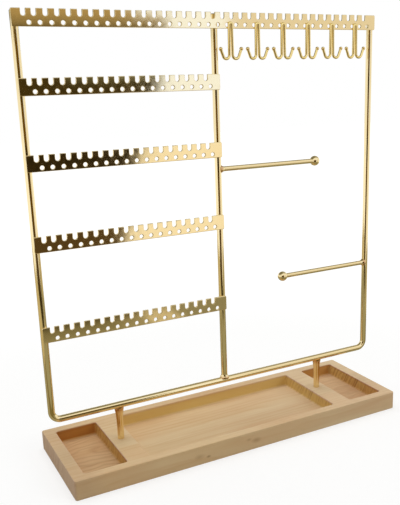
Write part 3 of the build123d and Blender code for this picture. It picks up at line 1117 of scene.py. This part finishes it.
def plain_world(stage):
    """White where it is seen or mirrored, and an even soft light on what is matt."""
    world = bpy.data.worlds.new("soft_studio")
    world.use_nodes = True
    tree = world.node_tree
    tree.nodes.clear()
    seen = seen_share(tree)
    strength = add(tree, "ShaderNodeMapRange", {"Value": seen, "To Min": stage.sky, "To Max": 1.0})
    light = add(tree, "ShaderNodeBackground", {"Color": WHITE, "Strength": strength})
    add(tree, "ShaderNodeOutputWorld", {"Surface": light})
    bpy.context.scene.world = world


def reflector(name, corners, tone, strength=1.0):
    """A studio card that only polished metal sees."""
    material, tree = new_material(name + "_card")
    glow = add(tree, "ShaderNodeEmission", {"Color": linear(tone), "Strength": strength})
    add(tree, "ShaderNodeOutputMaterial", {"Surface": glow})
    mesh = bpy.data.meshes.new(name)
    mesh.from_pydata([Vector(corner) * MM for corner in corners], [], [range(len(corners))])
    mesh.materials.append(material)
    card = new_object(name, mesh)
    card.visible_camera = card.visible_diffuse = card.visible_shadow = False
    card.visible_transmission = card.visible_volume_scatter = False


def front_card(outline, nearer=0):
    """Corners of a card in front of the stand, from its (x, z) outline."""
    return [(x, FRONT_CARDS_Y + nearer, z) for x, z in outline]


def shelf(z0, z1, right0, right1, left=DARK_ROOM_LEFT):
    """Corners of a long low card in the dark room, whose right end leans from right0 to right1."""
    return front_card(((left, z0), (right0, z0), (right1, z1), (left, z1)), nearer=1)


def back_card(x0, x1, z0, z1):
    """Corners of a card behind the stand."""
    return [(x0, BACK_CARD_Y, z0), (x1, BACK_CARD_Y, z0), (x1, BACK_CARD_Y, z1), (x0, BACK_CARD_Y, z1)]


def flat_card(z, x0, x1, y0, y1):
    """Corners of a level card, such as one on the table or under the ceiling."""
    return [(x0, y0, z), (x1, y0, z), (x1, y1, z), (x0, y1, z)]


# What the polished metal mirrors: a dark room at the front left with lighter shelves and two dim lamps,
# two windows at the front right, a table, a wall behind and a ceiling. Each card has its name, its corners
# in millimetres and its colour, and a strength where that isn't 1.
CARDS = (
    ("low_flag", front_card(((-700, 0), (98, 0), (119, 84), (134, 150), (-700, 150))), "#554328"),
    ("dark_flag", front_card(((-700, 150), (134, 150), (150, 215), (197, 342), (210, 425), (-700, 425))),
     "#3a3119"),
    ("low_shelf", shelf(106, 190, 124, 141), "#5f4611"),
    ("low_gap", shelf(194, 236, 143, 152), "#2b2314"),
    ("middle_shelf", shelf(240, 312, 160, 186), "#6b4f10"),
    ("left_lamp", shelf(343, 354, 110, 110, left=30), "#74755f"),
    ("right_lamp", shelf(343, 354, 196, 199, left=110), "#8f907b"),
    ("high_shelf", shelf(354, 410, 200, 207), "#6b4f10"),
    ("upper_wall", front_card(((-1400, 425), (210, 425), (216, 438), (-1400, 438))), "#a08e66"),
    ("top_wall", front_card(((-1400, 438), (216, 438), (150, 448), (150, 510), (-1400, 510))), "#b69e6f"),
    ("low_window", front_card(((98, 0), (330, 0), (330, 270), (170, 270), (150, 215), (119, 84))),
     "#fff8ee", 1.05),
    ("high_window", front_card(((170, 270), (330, 270), (330, 600), (150, 600), (150, 448), (216, 438),
                                (210, 425), (197, 342))), "#dae4ff", 1.5),
    ("right_wall", front_card(((330, 0), (900, 0), (900, 600), (330, 600))), "#efe8df"),
    ("front_table", flat_card(0.7, -700, 110, FRONT_CARDS_Y, -397), "#3a3119"),
    ("left_table", flat_card(0.9, -700, 20, -397, -345), "#888062"),
    ("dim_patch", flat_card(0.9, 20, 62, -397, -345), "#a09678"),
    ("bright_patch", flat_card(0.9, 62, 110, -410, -330), "#d9cdb2"),
    ("right_table", flat_card(0.9, 110, 700, FRONT_CARDS_Y, -330), "#938d74"),
    ("bar_table", flat_card(0.9, -420, 420, -140, -60), "#7c7048"),
    ("near_table", flat_card(0.5, -420, 420, -397, 420), "#a29d83"),
    ("far_table", flat_card(0.3, -850, 850, -397, 850), "#c8bb96"),
    ("back_wall", back_card(-1500, 1500, 450, CEILING_Z), "#7f7b62"),
    ("left_ceiling", flat_card(CEILING_Z, -1500, 250, -250, BACK_CARD_Y), "#85826f"),
    ("middle_ceiling", flat_card(CEILING_Z, 250, 500, -250, BACK_CARD_Y), "#989484"),
    ("right_ceiling", flat_card(CEILING_Z, 500, 2200, -250, BACK_CARD_Y), "#b4b0a4"),
)


def softbox(name, place, target, size, power):
    """A square lamp of that size in metres, turned to its target. The polished metal doesn't show it."""
    lamp = bpy.data.lights.new(name, "AREA")
    lamp.shape, lamp.size, lamp.energy = "SQUARE", size, power
    lamp_object = new_object(name, lamp)
    lamp_object.location = place
    way = Vector(target) - Vector(place)
    lamp_object.rotation_euler = way.to_track_quat("-Z", "Y").to_euler()
    lamp_object.visible_glossy = False


def set_camera(stage):
    """The camera at the photograph's place, angle and framing."""
    a, e = stage.azimuth, stage.elevation
    forward = Vector((sin(a) * cos(e), cos(a) * cos(e), sin(e)))
    right = Vector((cos(a), -sin(a), 0))
    up = right.cross(forward)
    side = right * cos(stage.roll) + up * sin(stage.roll)
    top = up * cos(stage.roll) - right * sin(stage.roll)
    data = bpy.data.cameras.new("camera")
    data.lens, data.sensor_width = stage.lens, stage.sensor
    data.shift_x, data.shift_y = stage.shift
    camera = new_object("camera", data)
    turn = Matrix((side, top, -forward)).transposed().to_4x4()
    camera.matrix_world = Matrix.Translation(stage.place) @ turn
    bpy.context.scene.camera = camera


class STAND_OT_stage(Operator):
    """Set up the pale floor, the soft light and the camera"""
    bl_idname = "stand.stage"
    bl_label = "Stage"

    def execute(self, context):
        stage = context.scene.stand_stage
        context.scene.view_settings.view_transform = "Standard"
        mesh = bpy.data.meshes.new("floor")
        half = stage.floor_half
        mesh.from_pydata(flat_card(0, -half, half, -half, half), [], [range(4)])
        mesh.materials.append(paper_floor(stage))
        new_object("floor", mesh)
        plain_world(stage)
        softbox("key_softbox", place=(-0.1, 0.25, 1.5), target=(0, 0, 0.1), size=1.2, power=stage.key)
        softbox("window_softbox", place=(1.0, -1.3, 0.9), target=(0, 0, 0.15), size=0.9, power=stage.fill)
        for card in CARDS:
            reflector(*card)
        set_camera(stage)
        return {"FINISHED"}


# ---------------------------------------------------------------- the add-on
STEPS = (STAND_OT_tray, STAND_OT_frame, STAND_OT_legs, STAND_OT_combs, STAND_OT_hooks, STAND_OT_arms,
         STAND_OT_fasteners, STAND_OT_stage)


class STAND_PT_panel(Panel):
    """Lists the stand's pieces, in the order in which they are made"""
    bl_idname = "STAND_PT_panel"
    bl_label = "Jewellery stand"
    bl_space_type = "VIEW_3D"
    bl_region_type = "UI"
    bl_category = "Stand"

    def draw(self, context):
        for step in STEPS:
            self.layout.operator(step.bl_idname)


def register():
    for group in GROUPS.values():
        bpy.utils.register_class(group)
    for name, group in GROUPS.items():
        setattr(bpy.types.Scene, name, PointerProperty(type=group))
    for kind in (*STEPS, STAND_PT_panel):
        bpy.utils.register_class(kind)


def unregister():
    for kind in (STAND_PT_panel, *reversed(STEPS)):
        bpy.utils.unregister_class(kind)
    for name, group in GROUPS.items():
        delattr(bpy.types.Scene, name)
        bpy.utils.unregister_class(group)


def main():
    """Builds everything."""
    register()
    bpy.ops.stand.tray()
    bpy.ops.stand.frame()
    bpy.ops.stand.legs()
    bpy.ops.stand.combs()
    bpy.ops.stand.hooks()
    bpy.ops.stand.arms()
    bpy.ops.stand.fasteners()
    bpy.ops.stand.stage()


if __name__ == "__main__":
    main()
